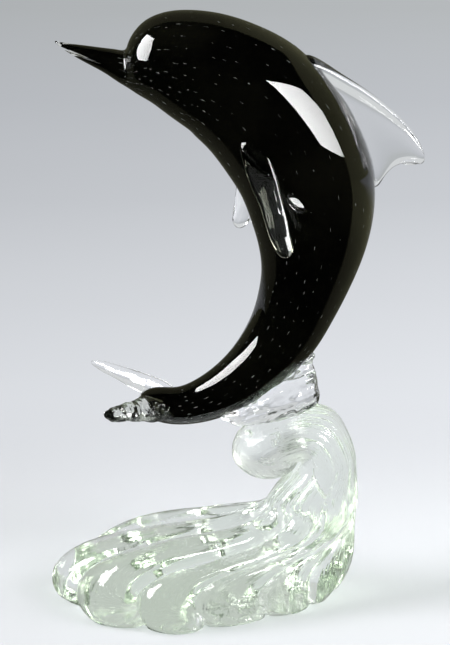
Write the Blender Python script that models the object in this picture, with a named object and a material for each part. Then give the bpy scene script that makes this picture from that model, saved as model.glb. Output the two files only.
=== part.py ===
"""Dolphin figurine of hot-worked glass: a dark dolphin with clear fins leaping from a clear ribbed wave.

Metres, +Z up. The dolphin faces -X, its flank is seen from -Y, and the wave stands flat on z = 0.
Lengths along X are measured from the wave's upright column, until the finished piece is centred.
The tables of sections give proportions: they are fitted to the main sizes named above them.
"""
import math

import bmesh
import bpy
from mathutils import Vector

# Gap that stands for the fused joint between two gathers of glass
CLEARANCE = 0.0003

# Main sizes
DOLPHIN_LENGTH = 0.1835
DOLPHIN_HEIGHT = 0.2461
DOLPHIN_HALF_WIDTH = 0.0380
WAVE_LENGTH = 0.1835
WAVE_WIDTH = 0.1225
CURL_REACH = 0.0405
CURL_HALF_WIDTH = 0.0252
DORSAL_HEIGHT = 0.0302

# Wave, the foot: one row for each rib, front-wards from the far left toe. Each is toe x, toe y,
# height of the toe's widest line, depth of the groove beside it, fullness of the rib behind the toe
RIB_TOES = (
    (-0.1580, 0.0020, 0.0120, 0.0110, 0.64),
    (-0.1310, -0.0500, 0.0120, 0.0130, 0.55),
    (-0.0860, -0.0665, 0.0120, 0.0130, 0.46),
    (-0.0470, -0.0520, 0.0110, 0.0090, 0.42),
    (-0.0130, -0.0370, 0.0150, 0.0060, 0.40),
    (0.0120, -0.0210, 0.0250, 0.0035, 0.36),
    (0.0255, 0.0010, 0.0350, 0.0025, 0.34),
    (0.0140, 0.0240, 0.0250, 0.0035, 0.36),
    (-0.0100, 0.0400, 0.0160, 0.0060, 0.46),
    (-0.0430, 0.0500, 0.0120, 0.0090, 0.62),
    (-0.0840, 0.0560, 0.0120, 0.0110, 0.80),
    (-0.1280, 0.0460, 0.0120, 0.0120, 0.78),
)
TOE_INSET_SHARE = 0.60
CLIMB_END_SHARE = 0.42

# Wave, the neck: the oval section where the foot turns up into the column
NECK_Z = 0.0640
NECK_HALF_LENGTH = 0.0270
NECK_HALF_WIDTH = 0.0260
NECK_GROOVE_DEPTH = 0.0026
NECK_LEAN = 0.0050

# Wave, the curl: its sections stand round the crease line under the crest.
# Each row is the angle about the crease, the reach from it and the half width
CREASE_X = -0.0090
CREASE_RISE = 0.0224
CREASE_RADIUS = 0.0005
CURL_SECTIONS = (
    (0.0, 0.0350, 0.0252),
    (28.0, 0.0346, 0.0250),
    (57.0, 0.0370, 0.0248),
    (84.0, 0.0345, 0.0244),
    (110.0, 0.0318, 0.0236),
    (135.0, 0.0350, 0.0226),
    (156.0, 0.0405, 0.0212),
    (176.0, 0.0395, 0.0190),
    (192.0, 0.0324, 0.0166),
    (206.0, 0.0236, 0.0136),
    (220.0, 0.0145, 0.0096),
    (236.0, 0.0075, 0.0054),
)
CURL_GROOVE_DEPTH = 0.0022
CURL_END_GROOVE_DEPTH = 0.0008

# Seat: the point of the dolphin's underside that stands over the crest
SEAT_X = -0.0260
SEAT_RISE = 0.0412

# Dolphin, the body: sections from beak to tail, measured from the seat.
# Each row is back x, back z, belly x, belly z, half width
BODY_SECTIONS = (
    (-0.1229, 0.2091, -0.1213, 0.2054, 0.0020),
    (-0.1166, 0.2085, -0.1145, 0.2019, 0.0042),
    (-0.1075, 0.2074, -0.1054, 0.1968, 0.0064),
    (-0.0984, 0.2062, -0.0963, 0.1919, 0.0084),
    (-0.0892, 0.2051, -0.0883, 0.1864, 0.0104),
    (-0.0841, 0.2046, -0.0826, 0.1830, 0.0122),
    (-0.0823, 0.2094, -0.0774, 0.1795, 0.0156),
    (-0.0782, 0.2162, -0.0729, 0.1769, 0.0196),
    (-0.0713, 0.2225, -0.0677, 0.1737, 0.0240),
    (-0.0604, 0.2266, -0.0591, 0.1671, 0.0284),
    (-0.0468, 0.2276, -0.0505, 0.1610, 0.0318),
    (-0.0286, 0.2255, -0.0466, 0.1580, 0.0336),
    (-0.0068, 0.2183, -0.0438, 0.1549, 0.0350),
    (0.0172, 0.2048, -0.0352, 0.1466, 0.0368),
    (0.0411, 0.1772, -0.0244, 0.1317, 0.0380),
    (0.0577, 0.1432, -0.0171, 0.1199, 0.0372),
    (0.0606, 0.1150, -0.0118, 0.1058, 0.0344),
    (0.0558, 0.0890, -0.0077, 0.0928, 0.0308),
    (0.0466, 0.0655, -0.0054, 0.0785, 0.0272),
    (0.0368, 0.0456, -0.0066, 0.0649, 0.0238),
    (0.0248, 0.0251, -0.0109, 0.0483, 0.0208),
    (0.0056, 0.0057, -0.0199, 0.0315, 0.0180),
    (-0.0139, -0.0074, -0.0308, 0.0187, 0.0156),
    (-0.0340, -0.0157, -0.0434, 0.0090, 0.0140),
    (-0.0525, -0.0185, -0.0548, 0.0038, 0.0132),
    (-0.0660, -0.0168, -0.0645, 0.0040, 0.0130),
    (-0.0738, -0.0126, -0.0728, 0.0030, 0.0112),
    (-0.0784, -0.0074, -0.0780, -0.0008, 0.0066),
)

# Mouth: a thin slit from the tip of the beak, along the line between the jaws
MOUTH_LENGTH = 0.0270
MOUTH_OVERREACH = 0.0040
MOUTH_HALF_WIDTH = 0.0208
MOUTH_TIP_GAP = 0.0014
MOUTH_BACK_GAP = 0.0004
MOUTH_TILT = 20.0

# Fins on the back line: each row is the leading and the trailing edge, as body section and height
# over the back, and the half thickness
DORSAL_SECTIONS = (
    (13.10, -0.0080, 15.60, -0.0080, 0.0050),
    (13.15, 0.0010, 15.62, 0.0010, 0.0048),
    (13.70, 0.0075, 15.40, 0.0060, 0.0042),
    (14.25, 0.0168, 15.26, 0.0125, 0.0034),
    (14.72, 0.0255, 15.25, 0.0205, 0.0028),
    (15.02, 0.0292, 15.30, 0.0270, 0.0024),
    (15.16, 0.0302, 15.26, 0.0298, 0.0012),
)

# Pectoral fins: root on the flank, as body section and share of the way from belly to back
PECTORAL_SECTION = 13.85
PECTORAL_ROOT_SHARE = 0.27
PECTORAL_ROOT_DEPTH = 0.012
PECTORAL_HALF_CHORD = 0.0082
PECTORAL_HALF_THICKNESS = 0.0042
# Each row is the share of the length, share of the half chord and share of the half thickness
PECTORAL_SECTIONS = (
    (0.06, 1.00, 1.15),
    (0.35, 0.86, 0.95),
    (0.65, 0.80, 0.85),
    (0.88, 0.66, 0.80),
    (0.97, 0.42, 0.60),
    (1.00, 0.16, 0.25),
)
PECTORAL_ROOT_CHORD_SHARE = 1.10
PECTORAL_ROOT_THICKNESS_SHARE = 1.30
NEAR_PECTORAL_LENGTH = 0.0580
NEAR_PECTORAL_SWEEP_ANGLE = 17.0
NEAR_PECTORAL_SPLAY_ANGLE = 17.0
FAR_PECTORAL_LENGTH = 0.0600
FAR_PECTORAL_SWEEP_ANGLE = -9.0
FAR_PECTORAL_SPLAY_ANGLE = 19.0

# Tail flukes: each row is the distance out from the tail's end, leading x and z, trailing x and z,
# half thickness. The two were drawn out by hand and lie a little differently
TAIL_SECTION = 25.0
NEAR_FLUKE_SECTIONS = (
    (0.0060, 0.0110, -0.0070, -0.0060, 0.0060, 0.0050),
    (0.0120, 0.0070, -0.0065, -0.0090, 0.0085, 0.0052),
    (0.0220, -0.0020, -0.0030, -0.0130, 0.0100, 0.0048),
    (0.0340, -0.0120, 0.0010, -0.0200, 0.0100, 0.0040),
    (0.0450, -0.0230, 0.0050, -0.0280, 0.0095, 0.0032),
    (0.0500, -0.0290, 0.0085, -0.0305, 0.0098, 0.0014),
)
FAR_FLUKE_SECTIONS = (
    (0.0060, 0.0110, 0.0040, -0.0070, 0.0030, 0.0046),
    (0.0130, 0.0060, 0.0075, -0.0110, 0.0045, 0.0048),
    (0.0230, -0.0060, 0.0095, -0.0210, 0.0065, 0.0044),
    (0.0340, -0.0180, 0.0110, -0.0290, 0.0080, 0.0038),
    (0.0450, -0.0330, 0.0130, -0.0395, 0.0100, 0.0030),
    (0.0500, -0.0420, 0.0130, -0.0445, 0.0118, 0.0014),
)

# Joining pad: the gather that holds the dolphin on the crest.
# Each row is body section, distance of its centre under the body, half thickness, half width
PAD_SECTIONS = (
    (19.95, 0.0002, 0.0012, 0.0016),
    (20.20, 0.0020, 0.0040, 0.0050),
    (20.45, 0.0070, 0.0110, 0.0095),
    (20.80, 0.0090, 0.0150, 0.0125),
    (21.30, 0.0070, 0.0135, 0.0135),
    (21.80, 0.0050, 0.0110, 0.0125),
    (22.30, 0.0025, 0.0070, 0.0100),
    (22.80, 0.0004, 0.0020, 0.0040),
)

# Fineness of the meshes
RIB_SIDES = 6
BODY_SIDES = 20
BODY_STEPS = 3
BLADE_SIDES = 16
BLADE_STEPS = 2
TOE_STEPS = 3
CLIMB_STEPS = 10
THROAT_STEPS = 4
CURL_STEPS = 2
BACK_SLOPE_STEP = 0.05
SHARP_ANGLE = 50.0

# Glass
GLASS_ROUGHNESS = 0.03
GLASS_IOR = 1.5
DARK_GLASS = (0.010, 0.010, 0.006, 1.0)
CLEAR_GLASS = (0.86, 0.90, 0.88, 1.0)
GREEN_GLASS = (0.74, 0.84, 0.76, 1.0)


def clear_scene():
    for item in list(bpy.data.objects):
        bpy.data.objects.remove(item)


def glass(name, color):
    material = bpy.data.materials.new(name)
    material.use_nodes = True
    shader = material.node_tree.nodes["Principled BSDF"]
    shader.inputs["Base Color"].default_value = color
    shader.inputs["Roughness"].default_value = GLASS_ROUGHNESS
    shader.inputs["Transmission Weight"].default_value = 1.0
    shader.inputs["IOR"].default_value = GLASS_IOR
    return material


def between(rows, position):
    """Value of each column at a fractional row number, on a smooth curve through the rows."""
    last = len(rows) - 1
    start = min(max(int(math.floor(position)), 0), last - 1)
    share = position - start
    before = rows[max(start - 1, 0)]
    low = rows[start]
    high = rows[start + 1]
    after = rows[min(start + 2, last)]
    return [curve_through(a, b, c, d, share) for a, b, c, d in zip(before, low, high, after)]


def curve_through(a, b, c, d, share):
    """Cubic that passes through b and c, with the slopes of its neighbours a and d."""
    slope_b = (c - a) / 2
    slope_c = (d - b) / 2
    cube = 2 * b - 2 * c + slope_b + slope_c
    square = -3 * b + 3 * c - 2 * slope_b - slope_c
    return ((cube * share + square) * share + slope_b) * share + b


def fitted(rows, columns, size):
    """The rows with those columns scaled together, so that they span the size."""
    values = [row[column] for row in rows for column in columns]
    scale = size / (max(values) - min(values))
    return scaled(rows, columns, scale)


def topped(rows, column, size):
    """The rows with that column scaled, so that its largest value is the size."""
    return scaled(rows, (column,), size / max(row[column] for row in rows))


def scaled(rows, columns, scale):
    return tuple(
        tuple(value * scale if column in columns else value for column, value in enumerate(row))
        for row in rows
    )


def sampled(rows, steps):
    count = (len(rows) - 1) * steps
    return [between(rows, index / steps) for index in range(count + 1)]


def loft(name, rings, material):
    """Skin over closed rings of equal length, with a flat face at both ends."""
    mesh = bmesh.new()
    ring = bmesh.ops.create_circle(mesh, segments=len(rings[0]), radius=1.0)["verts"]
    for vertex, place in zip(ring, rings[0]):
        vertex.co = place
    mesh.faces.new(ring)
    for places in rings[1:]:
        edges = [mesh.edges.get((ring[i - 1], ring[i])) for i in range(len(ring))]
        grown = bmesh.ops.extrude_edge_only(mesh, edges=edges)["geom"]
        fresh = {item for item in grown if isinstance(item, bmesh.types.BMVert)}
        following = []
        for vertex in ring:
            neighbours = [edge.other_vert(vertex) for edge in vertex.link_edges]
            following.append(next(neighbour for neighbour in neighbours if neighbour in fresh))
        for twin, place in zip(following, places):
            twin.co = place
        ring = following
    mesh.faces.new(ring)
    bmesh.ops.recalc_face_normals(mesh, faces=mesh.faces[:])
    data = bpy.data.meshes.new(name)
    mesh.to_mesh(data)
    mesh.free()
    data.shade_smooth()
    data.set_sharp_from_angle(angle=math.radians(SHARP_ANGLE))
    data.materials.append(material)
    item = bpy.data.objects.new(name, data)
    bpy.context.scene.collection.objects.link(item)
    return item


def grown_copy(item):
    """Hidden copy of a piece, larger all round by the clearance, for seating its neighbours."""
    copy = item.copy()
    copy.data = item.data.copy()
    copy.name = item.name + "_seat"
    bpy.context.scene.collection.objects.link(copy)
    swell = copy.modifiers.new("swell", "DISPLACE")
    swell.mid_level = 0.0
    swell.strength = CLEARANCE
    copy.hide_render = True
    copy.display_type = "WIRE"
    return copy


def cut(item, cutter):
    seat = item.modifiers.new("seat_" + cutter.name, "BOOLEAN")
    seat.operation = "DIFFERENCE"
    seat.solver = "EXACT"
    seat.object = cutter


def centre_on_table():
    """Moves the finished piece so that its box is centred on the frame's origin."""
    corners = []
    for item in bpy.data.objects:
        if not item.hide_render:
            corners += [vertex.co for vertex in item.data.vertices]
    across = [corner.x for corner in corners]
    deep = [corner.y for corner in corners]
    shift = (-(min(across) + max(across)) / 2, -(min(deep) + max(deep)) / 2, 0.0)
    for item in bpy.data.objects:
        item.location = shift


# Wave

TOES = fitted(fitted(RIB_TOES, (0,), WAVE_LENGTH), (1,), WAVE_WIDTH)
CURL = topped(topped(CURL_SECTIONS, 1, CURL_REACH), 2, CURL_HALF_WIDTH)


def toe_row(turn):
    """Toe values at a fractional rib number, on a closed smooth curve through the toes."""
    start = math.floor(turn)
    rows = [TOES[(start + step) % len(TOES)] for step in (-1, 0, 1, 2)]
    return [curve_through(*column, turn - start) for column in zip(*rows)]


def bearing(turn):
    """Direction of a rib from the column's axis, as an angle."""
    return math.pi + turn / len(TOES) * 2 * math.pi


def neck_point(turn):
    azimuth = bearing(turn)
    return Vector((NECK_HALF_LENGTH * math.cos(azimuth), NECK_HALF_WIDTH * math.sin(azimuth), NECK_Z))


def toe_point(turn, quarter):
    """Point on the rounded lower edge: quarter 0 is on the table, quarter 1 is the widest line."""
    x, y, height, _, _ = toe_row(turn)
    inward = Vector((-x, -y, 0.0)).normalized()
    angle = quarter * math.pi / 2
    place = Vector((x, y, height * (1 - math.cos(angle))))
    return place + inward * height * TOE_INSET_SHARE * (1 - math.sin(angle))


def climb_point(turn, share):
    """Point on the top of a rib: share 0 is the toe's widest line, share 1 is the neck."""
    low = toe_point(turn, 1.0)
    high = neck_point(turn)
    rise = high.z - low.z
    first = low + Vector((0.0, 0.0, rise * toe_row(turn)[4]))
    second = high - Vector((lean(turn), 0.0, rise * CLIMB_END_SHARE))
    return bezier(low, first, second, high, share)


def mixed(start, end, share):
    return start + (end - start) * share


def bezier(start, first, second, end, share):
    rest = 1 - share
    inner = first * 3 * share * rest ** 2 + second * 3 * share ** 2 * rest
    return start * rest ** 3 + inner + end * share ** 3


def lean(turn):
    """How far the skin slopes sideways at the neck: most on the hollow side, none behind."""
    return NECK_LEAN * max(-math.cos(bearing(turn)), 0.0) ** 2


def throat_point(turn, share):
    """Point between the neck and the first section of the curl."""
    low = neck_point(turn)
    high = curl_point(turn, CURL[0])
    third = (high.z - low.z) / 3
    first = low + Vector((lean(turn), 0.0, third))
    second = high - Vector((lean(turn), 0.0, third))
    return bezier(low, first, second, high, share)


def curl_point(turn, row):
    """Point on a section of the curl, which stands on the crease line like a page on its spine."""
    angle, reach, half_width = row
    out = Vector((math.cos(math.radians(angle)), 0.0, math.sin(math.radians(angle))))
    azimuth = bearing(turn)
    middle = (reach + CREASE_RADIUS) / 2
    half = (reach - CREASE_RADIUS) / 2
    place = Vector((CREASE_X, 0.0, NECK_Z + CREASE_RISE)) + out * (middle + half * math.cos(azimuth))
    return place + Vector((0.0, half_width * math.sin(azimuth), 0.0))


def fluted(rings, depths):
    """Sinks the grooves between the ribs, each rib keeping a rounded back."""
    result = []
    for level, ring in enumerate(rings):
        below = rings[max(level - 1, 0)]
        above = rings[min(level + 1, len(rings) - 1)]
        moved = []
        for index, place in enumerate(ring):
            around = ring[(index + 1) % len(ring)] - ring[index - 1]
            normal = around.cross(above[index] - below[index])
            if level == 0:
                normal.z = 0.0
            normal.normalize()
            across = 2 * (index % RIB_SIDES) / RIB_SIDES - 1
            lobe = math.sqrt(1 - across ** 2)
            moved.append(place - normal * depths[level][index] * (1 - lobe))
        result.append(moved)
    return result


def wave_rings():
    turns = [index / RIB_SIDES - 0.5 for index in range(RIB_SIDES * len(TOES))]
    rings = []
    depths = []
    toe_depths = [toe_row(turn)[3] for turn in turns]
    for step in range(TOE_STEPS):
        rings.append([toe_point(turn, step / TOE_STEPS) for turn in turns])
        depths.append(toe_depths)
    for step in range(CLIMB_STEPS):
        share = step / CLIMB_STEPS
        rings.append([climb_point(turn, share) for turn in turns])
        depths.append([mixed(depth, NECK_GROOVE_DEPTH, share) for depth in toe_depths])
    for step in range(THROAT_STEPS):
        share = step / THROAT_STEPS
        rings.append([throat_point(turn, share) for turn in turns])
        depths.append([mixed(NECK_GROOVE_DEPTH, CURL_GROOVE_DEPTH, share)] * len(turns))
    curl = sampled(CURL, CURL_STEPS)
    for step, row in enumerate(curl):
        share = step / (len(curl) - 1)
        rings.append([curl_point(turn, row) for turn in turns])
        depths.append([mixed(CURL_GROOVE_DEPTH, CURL_END_GROOVE_DEPTH, share)] * len(turns))
    return fluted(rings, depths)


# Dolphin

BODY = topped(
    fitted(fitted(BODY_SECTIONS, (0, 2), DOLPHIN_LENGTH), (1, 3), DOLPHIN_HEIGHT),
    4,
    DOLPHIN_HALF_WIDTH,
)
DORSAL = scaled(DORSAL_SECTIONS, (1, 3), DORSAL_HEIGHT / DORSAL_SECTIONS[-1][1])


def body_section(position):
    """Back point, belly point and half width at a fractional section number."""
    back_x, back_z, belly_x, belly_z, half_width = between(BODY, position)
    seat = Vector((SEAT_X, 0.0, NECK_Z + CREASE_RISE + SEAT_RISE))
    return seat + Vector((back_x, 0.0, back_z)), seat + Vector((belly_x, 0.0, belly_z)), half_width


def body_point(position, angle):
    """Point on the skin: angle 0 is the back, 90 the far flank, 180 the belly."""
    back, belly, half_width = body_section(position)
    turn = math.radians(angle)
    place = (back + belly) / 2 + (back - belly) / 2 * math.cos(turn)
    return place + Vector((0.0, half_width * math.sin(turn), 0.0))


def angle_up(share):
    """Angle on a section that lies at a share of the way from belly to back."""
    return math.degrees(math.acos(2 * share - 1))


def over_back(position, height):
    """Point in the middle plane at a height over the back line."""
    back, _, _ = body_section(position)
    ahead = body_section(position + BACK_SLOPE_STEP)[0] - body_section(position - BACK_SLOPE_STEP)[0]
    outward = Vector((-ahead.z, 0.0, ahead.x)).normalized()
    return back + outward * height


def body_rings():
    count = (len(BODY) - 1) * BODY_STEPS
    angles = [360.0 * side / BODY_SIDES for side in range(BODY_SIDES)]
    return [[body_point(level / BODY_STEPS, angle) for angle in angles] for level in range(count + 1)]


def mouth_cutter(material):
    back, belly, _ = body_section(0.0)
    tip = (back + belly) / 2
    tilt = math.radians(MOUTH_TILT)
    along = Vector((math.cos(tilt), 0.0, -math.sin(tilt)))
    up = Vector((math.sin(tilt), 0.0, math.cos(tilt)))
    aside = Vector((0.0, MOUTH_HALF_WIDTH, 0.0))
    stations = ((-MOUTH_OVERREACH, MOUTH_TIP_GAP), (0.0, MOUTH_TIP_GAP), (MOUTH_LENGTH, MOUTH_BACK_GAP))
    rings = []
    for distance, gap in stations:
        middle = tip + along * distance
        half = up * gap / 2
        corners = (-aside - half, aside - half, aside + half, -aside + half)
        rings.append([middle + corner for corner in corners])
    cutter = loft("mouth_slit", rings, material)
    cutter.hide_render = True
    cutter.display_type = "WIRE"
    return cutter


def blade(name, sections, flat, material):
    """Fin of rounded section: each section is a leading point, a trailing point and a half thickness."""
    rings = []
    for lead, trail, half in sections:
        middle = (lead + trail) / 2
        chord = (lead - trail) / 2
        ring = []
        for side in range(BLADE_SIDES):
            turn = 2 * math.pi * side / BLADE_SIDES
            ring.append(middle + chord * math.cos(turn) + flat * half * math.sin(turn))
        rings.append(ring)
    return loft(name, rings, material)


def dorsal_fin(material):
    sections = []
    for lead, lead_height, trail, trail_height, half in sampled(DORSAL, BLADE_STEPS):
        sections.append((over_back(lead, lead_height), over_back(trail, trail_height), half))
    return blade("dorsal_fin", sections, Vector((0.0, 1.0, 0.0)), material)


def pectoral_fin(name, side, shape, material):
    length, sweep, splay = shape
    root = body_point(PECTORAL_SECTION, side * angle_up(PECTORAL_ROOT_SHARE))
    along = Vector((math.sin(math.radians(sweep)), 0.0, -math.cos(math.radians(sweep))))
    outward = Vector((0.0, float(side), 0.0))
    direction = along * math.cos(math.radians(splay)) + outward * math.sin(math.radians(splay))
    chord = Vector((-along.z, 0.0, along.x))
    flat = direction.cross(chord).normalized()
    inside = (-PECTORAL_ROOT_DEPTH / length, PECTORAL_ROOT_CHORD_SHARE, PECTORAL_ROOT_THICKNESS_SHARE)
    sections = []
    for share, width, thickness in sampled((inside,) + PECTORAL_SECTIONS, BLADE_STEPS):
        middle = root + direction * length * share
        half = chord * PECTORAL_HALF_CHORD * width
        sections.append((middle - half, middle + half, PECTORAL_HALF_THICKNESS * thickness))
    return blade(name, sections, flat, material)


def tail_fluke(name, side, rows, material):
    back, belly, _ = body_section(TAIL_SECTION)
    tail = (back + belly) / 2
    sections = []
    for out, lead_x, lead_z, trail_x, trail_z, half in sampled(rows, BLADE_STEPS):
        lead = tail + Vector((lead_x, side * out, lead_z))
        trail = tail + Vector((trail_x, side * out, trail_z))
        sections.append((lead, trail, half))
    return blade(name, sections, Vector((0.0, 0.0, 1.0)), material)


def joining_pad(material):
    rings = []
    for position, under, half, half_width in sampled(PAD_SECTIONS, BLADE_STEPS):
        low = over_back(position, under + half)
        high = over_back(position, under - half)
        ring = []
        for side in range(BLADE_SIDES):
            turn = 2 * math.pi * side / BLADE_SIDES
            place = (low + high) / 2 + (low - high) / 2 * math.cos(turn)
            ring.append(place + Vector((0.0, half_width * math.sin(turn), 0.0)))
        rings.append(ring)
    return loft("joining_pad", rings, material)


def build():
    clear_scene()
    dark = glass("dark_glass", DARK_GLASS)
    clear = glass("clear_glass", CLEAR_GLASS)
    green = glass("green_glass", GREEN_GLASS)

    body = loft("dolphin_body", body_rings(), dark)
    body_seat = grown_copy(body)
    cut(body, mouth_cutter(dark))
    near_pectoral = (NEAR_PECTORAL_LENGTH, NEAR_PECTORAL_SWEEP_ANGLE, NEAR_PECTORAL_SPLAY_ANGLE)
    far_pectoral = (FAR_PECTORAL_LENGTH, FAR_PECTORAL_SWEEP_ANGLE, FAR_PECTORAL_SPLAY_ANGLE)
    fins = (
        dorsal_fin(clear),
        pectoral_fin("near_pectoral_fin", -1, near_pectoral, clear),
        pectoral_fin("far_pectoral_fin", 1, far_pectoral, clear),
        tail_fluke("near_tail_fluke", -1, NEAR_FLUKE_SECTIONS, clear),
        tail_fluke("far_tail_fluke", 1, FAR_FLUKE_SECTIONS, clear),
    )
    for fin in fins:
        cut(fin, body_seat)

    wave = loft("wave_base", wave_rings(), green)
    wave_seat = grown_copy(wave)
    pad = joining_pad(clear)
    cut(pad, body_seat)
    cut(pad, wave_seat)
    centre_on_table()


build()
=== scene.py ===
import math
import random

import bmesh
import bpy
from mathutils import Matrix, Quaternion, Vector, noise


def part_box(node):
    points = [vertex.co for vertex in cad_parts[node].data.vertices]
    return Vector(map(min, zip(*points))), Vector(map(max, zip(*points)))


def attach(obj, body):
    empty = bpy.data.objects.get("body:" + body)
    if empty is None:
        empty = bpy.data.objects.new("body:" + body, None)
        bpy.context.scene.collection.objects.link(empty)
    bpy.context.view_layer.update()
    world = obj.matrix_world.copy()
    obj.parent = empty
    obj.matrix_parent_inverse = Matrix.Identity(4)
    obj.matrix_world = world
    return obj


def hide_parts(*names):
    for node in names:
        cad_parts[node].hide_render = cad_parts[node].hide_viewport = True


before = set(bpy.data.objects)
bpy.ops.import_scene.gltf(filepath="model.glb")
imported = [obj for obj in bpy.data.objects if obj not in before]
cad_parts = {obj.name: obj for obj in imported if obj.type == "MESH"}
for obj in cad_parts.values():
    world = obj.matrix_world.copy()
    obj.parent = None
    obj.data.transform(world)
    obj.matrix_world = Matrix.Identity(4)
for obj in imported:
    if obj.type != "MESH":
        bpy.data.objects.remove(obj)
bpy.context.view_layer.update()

noise.seed_set(1)  # unseeded, the vector noise starts from the clock
waveLow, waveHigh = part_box("wave_base")
bodyLow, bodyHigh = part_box("dolphin_body")
toeReach = 0.158  # from the column's axis to the tip of the longest toe
axis = Vector((waveLow[0] + toeReach, (bodyLow[1] + bodyHigh[1]) / 2, 0.0))  # of the column, on the table
seat = axis + Vector((-0.0260, 0.0, 0.1276))  # under the dolphin's tail, over the crest
print("frame: column axis", [round(value, 4) for value in axis])


# Materials: an expression on wires adds its own Math nodes

class Wire:
    def __init__(self, tree, socket):
        self.tree = tree
        self.socket = socket

    def math(self, operation, first, second):
        box = self.tree.nodes.new("ShaderNodeMath")
        box.operation = operation
        plug(self.tree, box.inputs[0], first)
        plug(self.tree, box.inputs[1], second)
        return Wire(self.tree, box.outputs[0])

    def __add__(self, other):
        return self.math("ADD", self, other)

    def __radd__(self, other):
        return self.math("ADD", other, self)

    def __sub__(self, other):
        return self.math("SUBTRACT", self, other)

    def __rsub__(self, other):
        return self.math("SUBTRACT", other, self)

    def __mul__(self, other):
        return self.math("MULTIPLY", self, other)

    def __truediv__(self, other):
        return self.math("DIVIDE", self, other)

    def atMost(self, other):
        return self.math("MINIMUM", self, other)

    def atLeast(self, other):
        return self.math("MAXIMUM", self, other)


def plug(tree, slot, value):
    if isinstance(value, Wire):
        tree.links.new(value.socket, slot)
    elif slot.type == "RGBA":
        slot.default_value = (*value, 1.0)
    else:
        slot.default_value = value


class Finish:
    def __init__(self, name, tree=None):
        if tree is None:
            self.material = bpy.data.materials.new(name)
            self.material.use_nodes = True
            tree = self.material.node_tree
        self.tree = tree
        self.tree.nodes.clear()

    def add(self, kind, settings=None, sockets=None, out=0):
        box = self.tree.nodes.new("ShaderNode" + kind)
        for name, value in (settings or {}).items():
            if name == "stops":
                while len(box.color_ramp.elements) < len(value):
                    box.color_ramp.elements.new(0.5)
                for element, (position, color) in zip(box.color_ramp.elements, value):
                    element.position = position
                    element.color = (*color, 1.0)
            else:
                setattr(box, name, value)
        for name, value in (sockets or {}).items():
            plug(self.tree, box.inputs[name], value)
        return Wire(self.tree, box.outputs[out])

    def mixed(self, factor, first, second):
        return self.add("Mix", {"data_type": "RGBA"}, {0: factor, 6: first, 7: second}, out=2)

    def objectPlace(self):
        return self.add("TexCoord", out="Object")

    def split(self, vector):
        box = self.add("SeparateXYZ", sockets={0: vector}).socket.node
        return [Wire(self.tree, socket) for socket in box.outputs]

    def noise(self, place, scale, **others):
        sockets = {"Vector": place, "Scale": scale}
        sockets.update({name.capitalize(): value for name, value in others.items()})
        return self.add("TexNoise", sockets=sockets)

    def step(self, value, low, high):
        return self.add("MapRange", {"interpolation_type": "SMOOTHSTEP"}, {0: value, 1: low, 2: high})

    def done(self, surface, volume=None, kind="OutputMaterial"):
        output = self.tree.nodes.new("ShaderNode" + kind)
        self.tree.links.new(surface.socket, output.inputs["Surface"])
        if volume:
            self.tree.links.new(volume.socket, output.inputs["Volume"])


def wear(piece, finish, body="root", node=None):
    piece.data.materials.clear()
    piece.data.materials.append(finish.material)
    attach(piece, body)
    if node:
        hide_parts(node)


# Camera, at the photograph's height and distance

lens = {"target": (-0.0053, 0.00525, 0.1715), "distance": 1.27, "rise": 14.0, "length": 120.0}


def makeCamera():
    rise = math.radians(lens["rise"])
    back = Vector((0.0, -math.cos(rise), math.sin(rise)))
    bpy.ops.object.camera_add(location=Vector(lens["target"]) + back * lens["distance"])
    camera = bpy.context.active_object
    camera.name = "tripod"
    camera.rotation_euler = (-back).to_track_quat("-Z", "Y").to_euler()
    camera.data.lens = lens["length"]
    camera.data.sensor_width = 36.0
    bpy.context.scene.camera = camera


# Studio: a pale table that runs out into a sweep, a dim room and two large softboxes; table and room carry
# painted light, shade and reflection

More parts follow.
